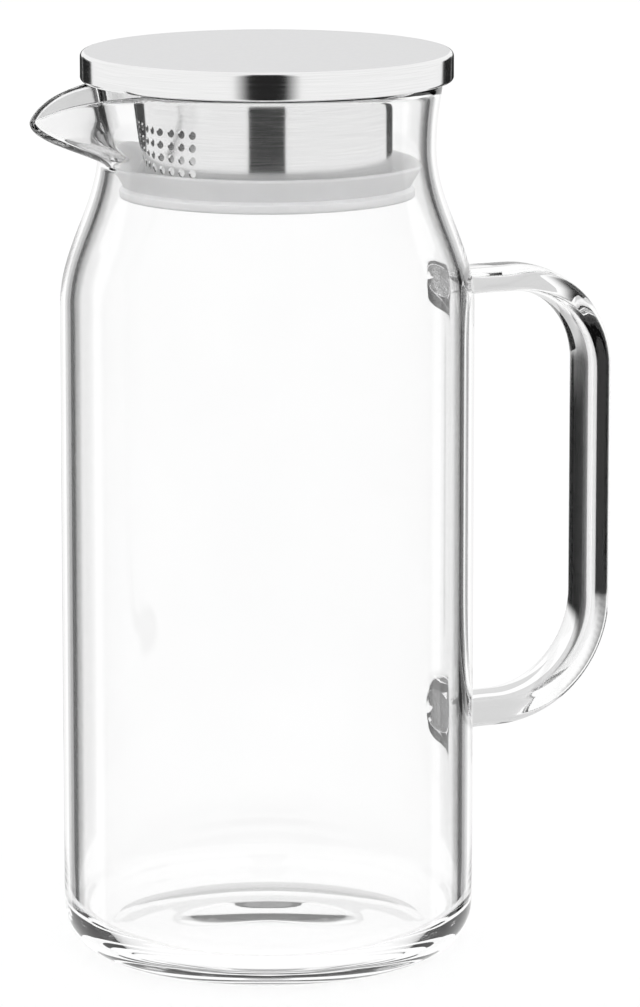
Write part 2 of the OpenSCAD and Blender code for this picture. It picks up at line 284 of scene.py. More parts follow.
class GlassShape:
    """The jug's glass as formulas of its sizes, with angles measured from the lip's tip."""

    def __init__(self, sizes):
        """Take the sizes and work out what follows from them."""
        self.s = sizes
        self.throat_z = sizes.rim_z - sizes.neck_h
        self.shoulder_z = self.throat_z - sizes.shoulder_h
        self.lip_base_z = sizes.rim_z - sizes.lip_depth - sizes.lip_drop
        self.rim_r = sizes.throat_r + sizes.flare
        tilt = math.atan(2 * sizes.flare / sizes.neck_h)
        self.bead_h = sizes.wall / 2 * (math.cos(tilt) + math.sin(tilt))
        self.side_r = (self.rim_r + sizes.lip_reach) * math.sin(sizes.lip_angle)

    def radius(self, z):
        """Outer radius of the round glass at height z."""
        s = self.s
        if z < self.shoulder_z:
            return s.body_r
        if z < self.throat_z:
            share = (1 - math.cos(math.pi * (z - self.shoulder_z) / s.shoulder_h)) / 2
            return s.body_r - (s.body_r - s.throat_r) * share
        return s.throat_r + s.flare * ((z - self.throat_z) / s.neck_h) ** 2

    def lip_out(self, a):
        """How far the lip is pulled out of the rim's circle at angle a."""
        s = self.s
        b = math.hypot(a, s.tip_round) - s.tip_round
        side = self.side_r / math.sin(min(math.pi / 2, b + s.lip_angle)) - self.rim_r
        return s.lip_fillet * math.log1p(math.exp(side / s.lip_fillet))

    def skin(self, a, share):
        """Point of the neck's outer skin at angle a and a share of its height."""
        out = self.lip_out(a)
        top = self.s.rim_z - self.bead_h - self.s.lip_drop * (out / self.s.lip_reach) ** LIP_DROOP
        z = self.lip_base_z + (top - self.lip_base_z) * share
        r = self.radius(z) + out * math.sin(math.pi / 2 * share) ** LIP_DRAW
        return Vector((-r * math.cos(a), r * math.sin(a), z))

    def skin_up(self, a, share):
        """Direction up along the neck's skin."""
        high, low = min(1, share + SHARE_STEP), max(0, share - SHARE_STEP)
        return (self.skin(a, high) - self.skin(a, low)).normalized()

    def skin_out(self, a, share):
        """Direction square out of the neck's skin."""
        across = self.skin(a + ANGLE_STEP, share) - self.skin(a - ANGLE_STEP, share)
        return self.skin_up(a, share).cross(across).normalized()

    def skin_t(self, a, share):
        """Thickness of the glass, which thins where the lip is pulled out."""
        pulled = math.sin(math.pi / 2 * min(1, 2 * self.lip_out(a) / self.s.lip_reach))
        return self.s.wall - (self.s.wall - self.s.lip_wall) * share * pulled

    def inner_skin(self, a, share):
        """Point of the neck's inner skin."""
        return self.skin(a, share) - self.skin_t(a, share) * self.skin_out(a, share)

    def bead(self, a, share):
        """Point on the fire-polished rim, from the outer skin over to the inner one."""
        edge, out = self.skin(a, 1), self.skin_out(a, 1)
        half = self.skin_t(a, 1) / 2
        t = math.pi * share
        return edge - out * half * (1 - math.cos(t)) + self.skin_up(a, 1) * half * math.sin(t)


def spaced(low, high, step):
    """Even heights from low up to high, about a step apart, without the last."""
    count = max(1, round((high - low) / step))
    return [low + (high - low) * i / count for i in range(count)]


# Counts of rows and columns in the glass, and distances between its rings in metres.
WELD_ROWS, WELD_COLS = 8, 18
UPPER_WELD_STEP, LOWER_WELD_STEP = 0.0012, 0.0015
UPPER_HALF, LOWER_HALF = WELD_ROWS / 2 * UPPER_WELD_STEP, WELD_ROWS / 2 * LOWER_WELD_STEP
SKIN_ROWS, BEAD_ROWS = 14, 10
PUSH_UP_ROWS, HEEL_ROWS, CORNER_ROWS = 12, 20, 16
WALL_STEP, SHOULDER_STEP, FOOT_STEP, FLAT_STEP = 0.006, 0.0015, 0.004, 0.006
CORNER_CLEAR, POLE_R = 0.004, 0.002
COLUMN_BIAS = 0.2


def wall_heights(shape, handle):
    """Heights of the outer wall's rings, closer together at the welds."""
    low0, low1 = handle.foot_z - LOWER_HALF, handle.foot_z + LOWER_HALF
    up0, up1 = handle.top_z - UPPER_HALF, handle.top_z + UPPER_HALF
    return (spaced(shape.s.heel_r, low0, WALL_STEP)[1:] + spaced(low0, low1, LOWER_WELD_STEP)
            + spaced(low1, up0, WALL_STEP) + spaced(up0, up1, UPPER_WELD_STEP)
            + spaced(up1, shape.lip_base_z, SHOULDER_STEP) + [shape.lip_base_z])


def column_angles(columns):
    """Angles round the jug, closest at the lip and closer again at the handle."""
    turns = [2 * math.pi * i / columns for i in range(columns)]
    return [t - COLUMN_BIAS * (math.sin(t) + math.sin(2 * t)) for t in turns]


def jug_rings(shape, handle):
    """Rings of the jug from under the base, up outside, over the rim and down inside."""
    s = shape.s
    heights = wall_heights(shape, handle)
    foot_r = s.body_r - s.heel_r
    corner = (s.body_r - s.wall - s.corner_r, s.floor_t + s.corner_r)
    dome = [s.push_up_r * i / PUSH_UP_ROWS for i in range(1, PUSH_UP_ROWS + 1)]
    outer = [(x, s.push_up_h * (1 + math.cos(math.pi * x / s.push_up_r)) / 2) for x in dome]
    outer += [(x, 0.0) for x in spaced(s.push_up_r, foot_r, FOOT_STEP)[1:]]
    outer += arc((foot_r, s.heel_r), s.heel_r, -90, 0, HEEL_ROWS)
    outer += [(shape.radius(z), z) for z in heights]
    clear = [z for z in heights if z > corner[1] + CORNER_CLEAR]
    inner = [(shape.radius(z) - s.wall, z) for z in reversed(clear)]
    inner += arc(corner, s.corner_r, 0, -90, CORNER_ROWS)
    inner += [(x, s.floor_t) for x in reversed(spaced(POLE_R, corner[0], FLAT_STEP))]
    rings = [("round", r, z) for r, z in outer]
    rings += [("skin", i / SKIN_ROWS, 0) for i in range(1, SKIN_ROWS + 1)]
    rings += [("bead", i / BEAD_ROWS, 0) for i in range(1, BEAD_ROWS)]
    rings += [("inner", i / SKIN_ROWS, 0) for i in range(SKIN_ROWS, 0, -1)]
    return rings + [("round", r, z) for r, z in inner]


def ring_point(shape, ring, a):
    """Place of a ring's vertex at angle a from the lip."""
    kind, first, second = ring
    if kind == "round":
        return Vector((-first * math.cos(a), first * math.sin(a), second))
    if kind == "skin":
        return shape.skin(a, first)
    if kind == "bead":
        return shape.bead(a, first)
    return shape.inner_skin(a, first)


# Stations of the rod: distances from the wall at a weld, steps on bars and grip, rows in a bend.
WELD_STATIONS = (0.0004, 0.001, 0.0018, 0.0028, 0.004, 0.006)
BAR_STEP, GRIP_STEP, BEND_ROWS = 0.003, 0.004, 28


def bend(centre, radius, heading):
    """Stations of a quarter bend that sets out with a heading."""
    stations = []
    for i in range(BEND_ROWS + 1):
        a = heading + math.pi / 2 * i / BEND_ROWS
        stations.append((centre[0] + radius * math.sin(a), centre[1] + radius * math.cos(a), a))
    return stations


def rod_stations(glass, handle):
    """Stations of the rod from the upper weld to the lower: radius, height and heading."""
    grip_r, bar_r = glass.body_r + handle.reach, glass.body_r + WELD_STATIONS[-1]
    upper = (grip_r - handle.upper_bend_r, handle.top_z - handle.upper_bend_r)
    lower = (grip_r - handle.lower_bend_r, handle.foot_z + handle.lower_bend_r)
    upper_bar = spaced(bar_r, upper[0], BAR_STEP)[1:]
    grip = spaced(lower[1], upper[1], GRIP_STEP)[1:]
    lower_bar = spaced(bar_r, lower[0], BAR_STEP)[1:]
    stations = [(glass.body_r + d, handle.top_z, 0.0) for d in WELD_STATIONS]
    stations += [(x, handle.top_z, 0.0) for x in upper_bar]
    stations += bend(upper, handle.upper_bend_r, 0.0)
    stations += [(grip_r, z, math.pi / 2) for z in reversed(grip)]
    stations += bend(lower, handle.lower_bend_r, math.pi / 2)
    stations += [(x, handle.foot_z, math.pi) for x in reversed(lower_bar)]
    stations += [(glass.body_r + d, handle.foot_z, math.pi) for d in reversed(WELD_STATIONS)]
    return stations


def oval(a, half_u, half_v, squareness):
    """Point on a rounded oval with half sizes u and v."""
    c, s = math.cos(a), math.sin(a)
    u = math.copysign(abs(c) ** (2 / squareness), c) * half_u
    v = math.copysign(abs(s) ** (2 / squareness), s) * half_v
    return u, v


def weld_angles():
    """Angles of the rod's vertices, which follow the border of the patch cut from the wall."""
    rows = [2 * i / WELD_ROWS - 1 for i in range(WELD_ROWS)]
    cols = [2 * i / WELD_COLS - 1 for i in range(WELD_COLS)]
    border = [(u, -1) for u in rows] + [(1, v) for v in cols]
    border += [(-u, 1) for u in rows] + [(-1, -v) for v in cols]
    return [math.atan2(v, u) for u, v in border]


def rod_point(glass, handle, station, a):
    """Place of a vertex of the rod's section at one station."""
    x, z, heading = station
    quarters = heading / (math.pi / 2)
    if quarters < 1:
        thick = handle.top_t + (handle.grip_t - handle.top_t) * quarters
    else:
        thick = handle.grip_t + (handle.foot_t - handle.grip_t) * (quarters - 1)
    swell = handle.swell * max(0.0, 1 - (x - glass.body_r) / handle.weld_run) ** 2
    u, v = oval(a, thick / 2 + swell, handle.width / 2 + swell, handle.squareness)
    return Vector((x + u * math.sin(heading), v, z + u * math.cos(heading)))


class PITCHER_OT_glass_vessel(bpy.types.Operator):
    """Blow the jug with its pulled lip and weld the rod handle to its wall"""

    bl_idname = "pitcher.glass_vessel"
    bl_label = "Glass vessel"

    def execute(self, context):
        glass, handle = context.scene.pitcher_glass, context.scene.pitcher_handle
        shape = GlassShape(glass)
        jug = self.blow_jug(shape, handle)
        self.cut_weld_patches(jug, shape, handle)
        rod = self.draw_rod(glass, handle)
        pick(jug)
        rod.select_set(True)
        bpy.ops.object.join()
        self.close_welds(jug, (handle.top_z + handle.foot_z) / 2)
        jug.data.materials.append(clear_glass(context.scene.pitcher_finish))
        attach(jug, "jug")
        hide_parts("glass_body", "glass_handle")
        return {"FINISHED"}

    def blow_jug(self, shape, handle):
        """Extrude the jug ring by ring, then pull the neck's rings out into the lip."""
        columns = shape.s.columns
        rings = jug_rings(shape, handle)
        profile = [ring_point(shape, ring, math.pi).xz for ring in rings]
        jug = turn("glass_vessel", profile, columns, column_angles(columns))
        close_pole()
        to_mode("OBJECT")
        vertices = jug.data.vertices
        for k, ring in enumerate(rings):
            for vertex in vertices[k * columns:(k + 1) * columns]:
                vertex.co = ring_point(shape, ring, math.atan2(vertex.co.y, -vertex.co.x))
        to_mode("EDIT")
        select_open_edges()
        close_pole()
        face_out()
        return jug

    def cut_weld_patches(self, jug, shape, handle):
        """Open the outer wall where the two ends of the rod are welded on, and round the openings."""
        glass, mesh = shape.s, jug.data
        edge_angle = column_angles(glass.columns)[glass.columns // 2 + WELD_COLS // 2] - math.pi
        welds = ((handle.top_z, UPPER_HALF, handle.top_t), (handle.foot_z, LOWER_HALF, handle.foot_t))
        middle_r = glass.body_r - glass.wall / 2
        patch = [math.hypot(c.x, c.y) > middle_r and abs(math.atan2(c.y, c.x)) < edge_angle
                 and any(abs(c.z - z) < half for z, half, thick in welds)
                 for c in [face.center for face in mesh.polygons]]
        to_mode("EDIT")
        bpy.ops.mesh.select_mode(type="FACE")
        bpy.ops.mesh.select_all(action="DESELECT")
        to_mode("OBJECT")
        mesh.polygons.foreach_set("select", patch)
        to_mode("EDIT")
        bpy.ops.mesh.delete(type="FACE")
        bpy.ops.mesh.select_mode(type="VERT")
        select_open_edges()
        to_mode("OBJECT")
        for vertex in mesh.vertices:
            if not vertex.select:
                continue
            z, half, thick = min(welds, key=lambda weld: abs(vertex.co.z - weld[0]))
            across = math.atan2(vertex.co.y, vertex.co.x) / edge_angle
            a = math.atan2(across, (vertex.co.z - z) / half)
            u, v = oval(a, thick / 2 + handle.swell, handle.width / 2 + handle.swell, handle.squareness)
            r = shape.radius(z + u)
            vertex.co = (math.sqrt(r * r - v * v), v, z + u)

    def draw_rod(self, glass, handle):
        """Extrude the rod's oval section along the handle."""
        stations = rod_stations(glass, handle)
        angles = weld_angles()
        clear_selection()
        bpy.ops.mesh.primitive_circle_add(vertices=len(angles), radius=handle.width / 2)
        rod = bpy.context.object
        rod.name = rod.data.name = "handle_rod"
        to_mode("EDIT")
        bpy.ops.mesh.select_all(action="SELECT")
        for before, after in zip(stations, stations[1:]):
            step = (after[0] - before[0], 0, after[1] - before[1])
            bpy.ops.mesh.extrude_region_move(TRANSFORM_OT_translate={"value": step})
        to_mode("OBJECT")
        places = [rod_point(glass, handle, station, a) for station in stations for a in angles]
        for vertex, place in zip(rod.data.vertices, places):
            vertex.co = place
        return rod

    def close_welds(self, jug, middle):
        """Bridge the rod's two ends, above and below a middle height, to the openings in the wall."""
        to_mode("EDIT")
        bpy.ops.mesh.select_mode(type="EDGE")
        for upper in (True, False):
            select_open_edges()
            to_mode("OBJECT")
            for edge in jug.data.edges:
                z = jug.data.vertices[edge.vertices[0]].co.z
                if edge.select and (z > middle) != upper:
                    edge.select = False
                    for index in edge.vertices:
                        jug.data.vertices[index].select = False
            to_mode("EDIT")
            bpy.ops.mesh.bridge_edge_loops()
        bpy.ops.mesh.select_mode(type="VERT")
        face_out()
        bpy.ops.object.shade_smooth()


# The least upward slope of a face of the cap's top, and the tilt of the seal's fin in degrees.
LEVEL, FIN_TILT = 0.98, -25


class PITCHER_OT_lid_cap(bpy.types.Operator):
    """Spin the cap: a flat top, a rounded edge, a straight skirt and a rolled hem"""

    bl_idname = "pitcher.lid_cap"
    bl_label = "Lid cap"

    def execute(self, context):
        lid = context.scene.pitcher_lid
        edge = (lid.cap_r - lid.cap_edge_r, lid.cap_top - lid.cap_edge_r)
        hem = (lid.cap_r - lid.hem_r, lid.cap_z + lid.hem_r)
        lip = lid.cap_r - lid.hem_w
        flat = spaced(POLE_R, edge[0], FLAT_STEP)
        profile = [(r, lid.cap_top) for r in flat]
        profile += arc(edge, lid.cap_edge_r, 90, 0, steps=12)
        profile += arc(hem, lid.hem_r, 0, -90, steps=10)
        profile += [(lip, lid.cap_z), (lip, lid.cap_z + lid.sheet)]
        profile += arc(hem, lid.hem_r - lid.sheet, -90, 0, steps=8)
        profile += arc(edge, lid.cap_edge_r - lid.sheet, 0, 90, steps=8)
        profile += [(r, lid.cap_top - lid.sheet) for r in reversed(flat)]
        cap = turn("lid_cap_steel", profile, lid.columns)
        close_pole()
        select_open_edges()
        close_pole()
        finish_turned(cap, smooth_angle=50)
        finish = context.scene.pitcher_finish
        cap.data.materials.append(brushed_steel(finish))
        cap.data.materials.append(satin_top_painted_shade(finish))
        # The upward faces of the top take the darker steel, which paints shade onto the cap's top.
        for face in cap.data.polygons:
            if face.normal.z > LEVEL and face.center.z > lid.cap_top - lid.sheet / 2:
                face.material_index = 1
        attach(cap, "lid")
        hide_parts("lid_cap")
        return {"FINISHED"}


class PITCHER_OT_lid_plate(bpy.types.Operator):
    """Spin the plate under the cap, with its seat and the collar round the sleeve"""

    bl_idname = "pitcher.lid_plate"
    bl_label = "Lid plate"

    def execute(self, context):
        lid = context.scene.pitcher_lid
        collar_in = lid.sleeve_r + lid.sheet_fit
        collar_out = collar_in + lid.sheet
        turn_in = (collar_out + lid.collar_bend_r, lid.cap_z - lid.collar_bend_r)
        flange = lid.cap_r - lid.sheet - lid.sheet_fit
        joggle = lid.cap_r - lid.hem_w - lid.sheet_fit
        low, high = lid.cap_z, lid.cap_z + lid.sheet
        profile = [(collar_in, low - lid.collar_h), (collar_out, low - lid.collar_h)]
        profile += arc(turn_in, lid.collar_bend_r, 180, 90, steps=8)
        profile += [(joggle, low), (joggle, high), (flange - lid.hem_r + lid.sheet, high),
                    (flange, low + lid.hem_r), (flange, high + lid.hem_r),
                    (joggle - lid.sheet, high + lid.sheet), (joggle - lid.sheet, high)]
        profile += arc(turn_in, lid.collar_bend_r + lid.sheet, 90, 180, steps=8)
        profile.append(profile[0])
        plate = turn("lid_plate_steel", profile, lid.columns)
        finish_turned(plate, smooth_angle=40)
        plate.data.materials.append(brushed_steel(context.scene.pitcher_finish))
        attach(plate, "lid")
        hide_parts("lid_plate")
        return {"FINISHED"}


# Distance between the sleeve's rings, the angle up to which it is smoothed, and the sides of a punch.
SLEEVE_STEP, SLEEVE_SMOOTH, PUNCH_SIDES = 0.003, 40, 32


class PITCHER_OT_strainer_sleeve(bpy.types.Operator):
    """Roll the sleeve and punch the panel of holes that faces the lip"""

    bl_idname = "pitcher.strainer_sleeve"
    bl_label = "Strainer sleeve"

    def execute(self, context):
        lid = context.scene.pitcher_lid
        inner = lid.sleeve_r - lid.sheet
        profile = [(lid.sleeve_r, z) for z in spaced(lid.sleeve_z, lid.sleeve_top, SLEEVE_STEP)]
        profile.append((lid.sleeve_r, lid.sleeve_top))
        profile += [(inner, z) for r, z in reversed(profile)]
        profile.append(profile[0])
        sleeve = turn("strainer_sleeve_steel", profile, lid.columns)
        finish_turned(sleeve, SLEEVE_SMOOTH)
        punches = self.punches(lid)
        pick(sleeve)
        cut = sleeve.modifiers.new("punched_holes", "BOOLEAN")
        cut.operation = "DIFFERENCE"
        cut.solver = "EXACT"
        cut.object = punches
        bpy.ops.object.modifier_apply(modifier=cut.name)
        bpy.data.objects.remove(punches)
        bpy.ops.object.shade_smooth_by_angle(angle=math.radians(SLEEVE_SMOOTH))
        sleeve.data.materials.clear()
        sleeve.data.materials.append(brushed_steel(context.scene.pitcher_finish))
        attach(sleeve, "lid")
        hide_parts("strainer_sleeve")
        return {"FINISHED"}

    def punches(self, lid):
        """Punch pins for every hole, joined into one tool."""
        step = lid.col_pitch / lid.sleeve_r
        pins = []
        clear_selection()
        for row in range(lid.hole_rows):
            for col in range(lid.hole_cols):
                a = math.pi + (col - (lid.hole_cols - 1) / 2) * step
                z = lid.cap_z - lid.first_row - row * lid.row_pitch
                bpy.ops.mesh.primitive_cylinder_add(
                    vertices=PUNCH_SIDES, radius=lid.hole_d / 2, depth=6 * lid.sheet,
                    location=(lid.sleeve_r * math.cos(a), lid.sleeve_r * math.sin(a), z),
                    rotation=(0, math.pi / 2, a))
                pins.append(bpy.context.object)
        pick(pins[0])
        for pin in pins:
            pin.select_set(True)
        bpy.ops.object.join()
        return bpy.context.object


class PITCHER_OT_seal_ring(bpy.types.Operator):
    """Mould the seal: a hub round the sleeve, a raised wiping fin, a groove and a lower flange"""

    bl_idname = "pitcher.seal_ring"
    bl_label = "Seal ring"

    def execute(self, context):
        lid = context.scene.pitcher_lid
        bore = lid.sleeve_r + lid.sheet_fit
        flange = lid.fin_r - lid.flange_step
        groove = flange - lid.groove_depth
        rounding = lid.flange_h / 3
        step_z = lid.seal_z + lid.flange_h
        root_z = step_z + 2 * lid.groove_depth
        tip = (lid.fin_r - lid.fin_t / 2, lid.seal_top - lid.fin_t / 2)
        hub = bore + lid.hub_t
        profile = [(bore, lid.seal_z)]
        profile += arc((flange - rounding, lid.seal_z + rounding), rounding, -90, 0, steps=8)
        profile += [(flange, step_z), (groove, step_z + lid.groove_depth)]
        profile += arc(tip, lid.fin_t / 2, FIN_TILT, FIN_TILT + 180, steps=10)
        profile += [(hub + lid.fin_t, root_z + lid.fin_t / 2), (hub, root_z + lid.fin_t),
                    (hub, lid.seal_z + lid.hub_h), (bore, lid.seal_z + lid.hub_h)]
        profile.append(profile[0])
        seal = turn("seal_ring_silicone", profile, lid.columns)
        finish_turned(seal, smooth_angle=35)
        seal.data.materials.append(milky_silicone(context.scene.pitcher_finish))
        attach(seal, "seal")
        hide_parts("seal_ring")
        return {"FINISHED"}


def feed(tree, node, inputs):
    """Link a node's inputs to sockets, or set them to values."""
    for key, value in inputs.items():
        if isinstance(value, bpy.types.NodeSocket):
            tree.links.new(value, node.inputs[key])
        else:
            node.inputs[key].default_value = value


def add_node(tree, kind, inputs=None, **settings):
    """The outputs of a new shader node with its settings made and its inputs fed."""
    made = tree.nodes.new("ShaderNode" + kind)
    for key, value in settings.items():
        setattr(made, key, value)
    feed(tree, made, inputs or {})
    return made.outputs


def stretched_noise(tree, stretch, scale, detail):
    """Noise on Object coordinates, stretched along the axes."""
    place = add_node(tree, "TexCoord")["Object"]
    mapped = add_node(tree, "Mapping", {"Vector": place, "Scale": stretch})["Vector"]
    return add_node(tree, "TexNoise", {"Vector": mapped, "Scale": scale, "Detail": detail})["Fac"]


# The part of the noise's range over which a ramp runs.
RAMP_START, RAMP_END = 0.35, 0.65


def ramp_between(tree, source, low, high):
    """A ramp from one colour to another along a noise."""
    ramp = tree.nodes.new("ShaderNodeValToRGB")
    first, last = ramp.color_ramp.elements
    first.position, last.position = RAMP_START, RAMP_END
    first.color, last.color = (*low, 1), (*high, 1)
    tree.links.new(source, ramp.inputs["Fac"])
    return ramp.outputs["Color"]


def calculate(tree, operation, *values):
    """The result of a sum on one or two sockets or numbers."""
    return add_node(tree, "Math", dict(enumerate(values)), operation=operation)["Value"]


def chain(tree, operation, *values):
    """The result of one sum carried on over several sockets or numbers."""
    result = values[0]
    for value in values[1:]:
        result = calculate(tree, operation, result, value)
    return result


def product(tree, *values):
    """The product of sockets and numbers."""
    return chain(tree, "MULTIPLY", *values)


def opposite(tree, value):
    """What a value lacks of 1."""
    return calculate(tree, "SUBTRACT", 1.0, value)


def inside(tree, value, low, high):
    """1 where a value lies between two limits, and 0 elsewhere."""
    return product(tree, calculate(tree, "GREATER_THAN", value, low),
                   calculate(tree, "LESS_THAN", value, high))


def grained_material(name, base, darker, grain, inputs, rough=None):
    """A material whose colour, and roughness if a range is given, vary with stretched noise."""
    material = bpy.data.materials.new(name)
    material.use_nodes = True
    tree = material.node_tree
    shader = tree.nodes["Principled BSDF"]
    noise = stretched_noise(tree, *grain)
    dull = [c * (1 - darker) for c in base]
    feed(tree, shader, {"Base Color": ramp_between(tree, noise, dull, base), **inputs})
    if rough:
        feed(tree, shader, {"Roughness": ramp_between(tree, noise, *[(grey,) * 3 for grey in rough])})
    return material


def clear_glass(finish):
    """Clear glass with the faintest unevenness in its tint."""
    inputs = {"Transmission Weight": 1, "Roughness": 0, "IOR": finish.glass_ior}
    return grained_material("clear_glass", finish.glass_tint, 0.01, ((1, 1, 1), 30, 2), inputs)


def brushed_steel(finish):
    """Steel with fine level brushing round its sides."""
    inputs = {"Metallic": 1, "Anisotropic": 0.85, "Anisotropic Rotation": 0.25}
    material = grained_material("brushed_steel", finish.steel, 0.08, ((1, 1, 120), 60, 5), inputs,
                                rough=(0.12, 0.2))
    tree = material.node_tree
    around = add_node(tree, "Tangent", direction_type="RADIAL", axis="Z")["Tangent"]
    feed(tree, tree.nodes["Principled BSDF"], {"Tangent": around})
    return material


def satin_top_painted_shade(finish):
    """The cap's top, finely brushed to an even satin. Its colour is set darker than the skirt's steel as
    painted shade, standing in for the darker reflection that the top shows.
    """
    inputs = {"Metallic": 1, "Roughness": 0.35}
    return grained_material("satin_top_painted_shade", finish.shaded_steel_top, 0.03, ((1, 1, 1), 900, 4), inputs)


def milky_silicone(finish):
    """Soft translucent silicone."""
    inputs = {"Roughness": 0.35, "IOR": 1.41, "Subsurface Weight": 1,
              "Subsurface Radius": (1, 1, 1), "Subsurface Scale": 0.006}
    return grained_material("milky_silicone", finish.silicone, 0.04, ((1, 1, 1), 120, 3), inputs)


# Bounces in the glass, sides of the discs and the flags, tones of the stage, and the camera's film.
GLASS_BOUNCES = 22
DISC_SIDES, FLAG_SIDES = 96, 128
FLOOR_GREY, FLOOR_GLOW = 0.25, 0.77
GROUND_Z, GROUND_GLOW = -0.0005, 1.08
CARD_GLOW = 0.004
SENSOR_MM, CLIP_END = 36, 20

# The light that shows each flag: ranges of the glass skins it passed and of the reflections it made.
FLAG_LIGHT = {
    "back_flag": ((1.5, 3.0), (-1.0, 0.5)),
    "side_flag": ((1.5, 3.0), (0.5, 1.5)),
    "front_flag": ((-1.0, 3.0), (1.5, 9.0)),
    "behind_flag": ((-1.0, 0.5), (0.5, 1.5)),
    "sleeve_flag": ((3.5, 9.0), (0.5, 9.0)),
}

# Cards of the surround: angles in degrees from straight behind, at 0, to the camera, at 180, and softness.
CARDS = {
    "behind": (((-1, 21),), 1),
    "side": (((21, 42),), 1),
    "front": (((164, 181),), 5),
    "grey": (((20, 32),), 1),
    "edge": (((30, 46),), 2),
    "mirror": (((33, 45), (75, 181)), 2),
    "room": (((22, 181),), 1),
}
GREY_SHARE, BEHIND_SHARE, FULL_CARD = 0.6, 0.18, 0.985

# How steeply light may rise to the cards that steel mirrors.
STEEL_RISE = {"side": (-0.5, 0.12), "behind": (-0.3, 0.03), "front": (-0.9, 0.9)}

# Light that glass darkens: skins passed, reflections made, the card it meets, its rise and the weight.
GLASS_RULES = {
    "wall's edge": ((0.5, 3.5), (0.5, 2.5), "edges", ((-0.45, 0.35),), 1.0),
    "bent aside": ((0.5, 3.5), (-0.5, 0.5), "room", ((-0.1, 0.5),), 1.0),
    "fringe": ((0.5, 3.5), (-0.5, 0.5), "behind", ((-1.1, -0.45), (-0.24, 0.6)), 0.35),
    "bent up": ((3.5, 4.5), (-0.5, 0.5), None, ((0.03, 1.0),), 1.0),
    "steel in the jug": ((3.5, 9.0), (0.5, 9.0), "steel", ((-0.35, 0.3),), 1.0),
    "deep in the glass": ((3.5, 9.0), (1.5, 40.0), None, None, 0.85),
}

# Gains of light through glass: on matt surfaces from below, the rest from above, and of all of it.
GAIN_BELOW, GAIN_ABOVE, GAIN_CLEAR = -0.5, 2.4, 0.06


